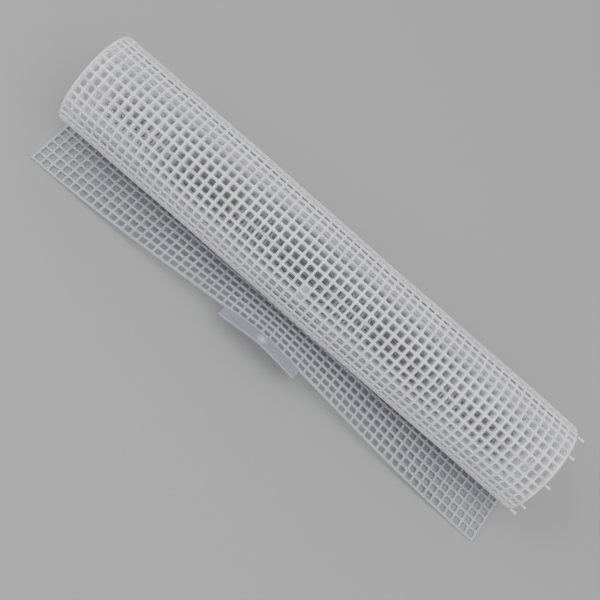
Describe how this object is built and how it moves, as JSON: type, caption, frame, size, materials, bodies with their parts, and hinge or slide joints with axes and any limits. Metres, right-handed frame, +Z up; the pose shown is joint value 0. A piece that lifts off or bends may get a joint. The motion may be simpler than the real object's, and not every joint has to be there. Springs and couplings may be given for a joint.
{
  "type": "flexible queen excluder mat",
  "caption": "Flexible plastic mesh mat of square openings, rolled up, with a free bowed flap, a pull tab and ball-headed edge pegs; it unrolls flat over a hive box.",
  "frame": {"origin": "centre of the box of the rolled mat, at the table", "axes": "+X along the roll towards the edge with the pegs, free flap towards -Y, +Z up"},
  "size_m": [0.3594, 0.0902, 0.0692],
  "materials": {
    "mesh_plastic": "milky, slightly glossy",
    "tab_plastic": "milky, slightly glossy"
  },
  "bodies": {
    "flap": {"free_flap": "mesh_plastic"},
    "tab": {"pull_tab": "tab_plastic"},
    "strip_01": {"roll_strip_01": "mesh_plastic"},
    "strip_02": {"roll_strip_02": "mesh_plastic"},
    "strip_03": {"roll_strip_03": "mesh_plastic"},
    "strip_04": {"roll_strip_04": "mesh_plastic", "edge_peg_1": "tab_plastic"},
    "strip_05": {"roll_strip_05": "mesh_plastic", "edge_peg_2": "tab_plastic"},
    "strip_06": {"roll_strip_06": "mesh_plastic", "edge_peg_3": "tab_plastic"},
    "strip_07": {"roll_strip_07": "mesh_plastic", "edge_peg_4": "tab_plastic", "edge_peg_5": "tab_plastic"},
    "strip_08": {"roll_strip_08": "mesh_plastic"},
    "strip_09": {"roll_strip_09": "mesh_plastic"},
    "strip_10": {"roll_strip_10": "mesh_plastic"},
    "strip_11": {"roll_strip_11": "mesh_plastic"},
    "strip_12": {"roll_strip_12": "mesh_plastic"},
    "strip_13": {"roll_strip_13": "mesh_plastic"},
    "strip_14": {"roll_strip_14": "mesh_plastic"},
    "strip_15": {"roll_strip_15": "mesh_plastic"},
    "strip_16": {"roll_strip_16": "mesh_plastic"},
    "strip_17": {"roll_strip_17": "mesh_plastic"},
    "strip_18": {"roll_strip_18": "mesh_plastic"},
    "strip_19": {"roll_strip_19": "mesh_plastic"},
    "strip_20": {"roll_strip_20": "mesh_plastic"}
  },
  "joints": [
    {"name": "unroll_01", "type": "hinge", "parent": "flap", "child": "strip_01", "pos_m": [0, 0.00813, 0.0014], "axis": [-1, 0, 0], "range_deg": [0, 15.95]},
    {"name": "unroll_02", "type": "hinge", "parent": "strip_01", "child": "strip_02", "pos_m": [0, 0.03044, 0.00777], "axis": [-1, 0, 0], "range_deg": [0, 39.04]},
    {"name": "unroll_03", "type": "hinge", "parent": "strip_02", "child": "strip_03", "pos_m": [0, 0.04375, 0.02678], "axis": [-1, 0, 0], "range_deg": [0, 39.78]},
    {"name": "unroll_04", "type": "hinge", "parent": "strip_03", "child": "strip_04", "pos_m": [0, 0.04182, 0.04989], "axis": [-1, 0, 0], "range_deg": [0, 40.38]},
    {"name": "unroll_05", "type": "hinge", "parent": "strip_04", "child": "strip_05", "pos_m": [0, 0.02537, 0.06626], "axis": [-1, 0, 0], "range_deg": [0, 41.01]},
    {"name": "unroll_06", "type": "hinge", "parent": "strip_05", "child": "strip_06", "pos_m": [0, 0.00222, 0.06781], "axis": [-1, 0, 0], "range_deg": [0, 41.67]},
    {"name": "unroll_07", "type": "hinge", "parent": "strip_06", "child": "strip_07", "pos_m": [0, -0.0161, 0.05358], "axis": [-1, 0, 0], "range_deg": [0, 42.37]},
    {"name": "unroll_08", "type": "hinge", "parent": "strip_07", "child": "strip_08", "pos_m": [0, -0.02004, 0.03072], "axis": [-1, 0, 0], "range_deg": [0, 43.1]},
    {"name": "unroll_09", "type": "hinge", "parent": "strip_08", "child": "strip_09", "pos_m": [0, -0.00731, 0.01133], "axis": [-1, 0, 0], "range_deg": [0, 43.87]},
    {"name": "unroll_10", "type": "hinge", "parent": "strip_09", "child": "strip_10", "pos_m": [0, 0.01532, 0.00618], "axis": [-1, 0, 0], "range_deg": [0, 44.69]},
    {"name": "unroll_11", "type": "hinge", "parent": "strip_10", "child": "strip_11", "pos_m": [0, 0.03502, 0.01843], "axis": [-1, 0, 0], "range_deg": [0, 45.55]},
    {"name": "unroll_12", "type": "hinge", "parent": "strip_11", "child": "strip_12", "pos_m": [0, 0.04007, 0.04107], "axis": [-1, 0, 0], "range_deg": [0, 46.47]},
    {"name": "unroll_13", "type": "hinge", "parent": "strip_12", "child": "strip_13", "pos_m": [0, 0.02714, 0.06033], "axis": [-1, 0, 0], "range_deg": [0, 47.44]},
    {"name": "unroll_14", "type": "hinge", "parent": "strip_13", "child": "strip_14", "pos_m": [0, 0.0042, 0.06383], "axis": [-1, 0, 0], "range_deg": [0, 48.49]},
    {"name": "unroll_15", "type": "hinge", "parent": "strip_14", "child": "strip_15", "pos_m": [0, -0.01362, 0.04897], "axis": [-1, 0, 0], "range_deg": [0, 49.6]},
    {"name": "unroll_16", "type": "hinge", "parent": "strip_15", "child": "strip_16", "pos_m": [0, -0.01385, 0.02577], "axis": [-1, 0, 0], "range_deg": [0, 50.8]},
    {"name": "unroll_17", "type": "hinge", "parent": "strip_16", "child": "strip_17", "pos_m": [0, 0.00398, 0.01093], "axis": [-1, 0, 0], "range_deg": [0, 52.09]},
    {"name": "unroll_18", "type": "hinge", "parent": "strip_17", "child": "strip_18", "pos_m": [0, 0.02664, 0.01587], "axis": [-1, 0, 0], "range_deg": [0, 53.49]},
    {"name": "unroll_19", "type": "hinge", "parent": "strip_18", "child": "strip_19", "pos_m": [0, 0.03615, 0.03703], "axis": [-1, 0, 0], "range_deg": [0, 55.01]},
    {"name": "unroll_20", "type": "hinge", "parent": "strip_19", "child": "strip_20", "pos_m": [0, 0.02427, 0.05696], "axis": [-1, 0, 0], "range_deg": [0, 56.68]},
    {"name": "tab_flex", "type": "hinge", "parent": "flap", "child": "tab", "pos_m": [0, -0.0348, 0.01926], "axis": [-1, 0, 0], "range_deg": [0, 50], "stiffness_Nm_per_rad": 0.02}
  ],
  "couplings": [
    {"joint": "unroll_02", "follows": "unroll_01", "ratio": 2.4484},
    {"joint": "unroll_03", "follows": "unroll_01", "ratio": 2.4947},
    {"joint": "unroll_04", "follows": "unroll_01", "ratio": 2.5325},
    {"joint": "unroll_05", "follows": "unroll_01", "ratio": 2.572},
    {"joint": "unroll_06", "follows": "unroll_01", "ratio": 2.6135},
    {"joint": "unroll_07", "follows": "unroll_01", "ratio": 2.6571},
    {"joint": "unroll_08", "follows": "unroll_01", "ratio": 2.703},
    {"joint": "unroll_09", "follows": "unroll_01", "ratio": 2.7514},
    {"joint": "unroll_10", "follows": "unroll_01", "ratio": 2.8025},
    {"joint": "unroll_11", "follows": "unroll_01", "ratio": 2.8567},
    {"joint": "unroll_12", "follows": "unroll_01", "ratio": 2.9142},
    {"joint": "unroll_13", "follows": "unroll_01", "ratio": 2.9754},
    {"joint": "unroll_14", "follows": "unroll_01", "ratio": 3.0407},
    {"joint": "unroll_15", "follows": "unroll_01", "ratio": 3.1107},
    {"joint": "unroll_16", "follows": "unroll_01", "ratio": 3.1858},
    {"joint": "unroll_17", "follows": "unroll_01", "ratio": 3.2668},
    {"joint": "unroll_18", "follows": "unroll_01", "ratio": 3.3546},
    {"joint": "unroll_19", "follows": "unroll_01", "ratio": 3.45},
    {"joint": "unroll_20", "follows": "unroll_01", "ratio": 3.5544}
  ]
}
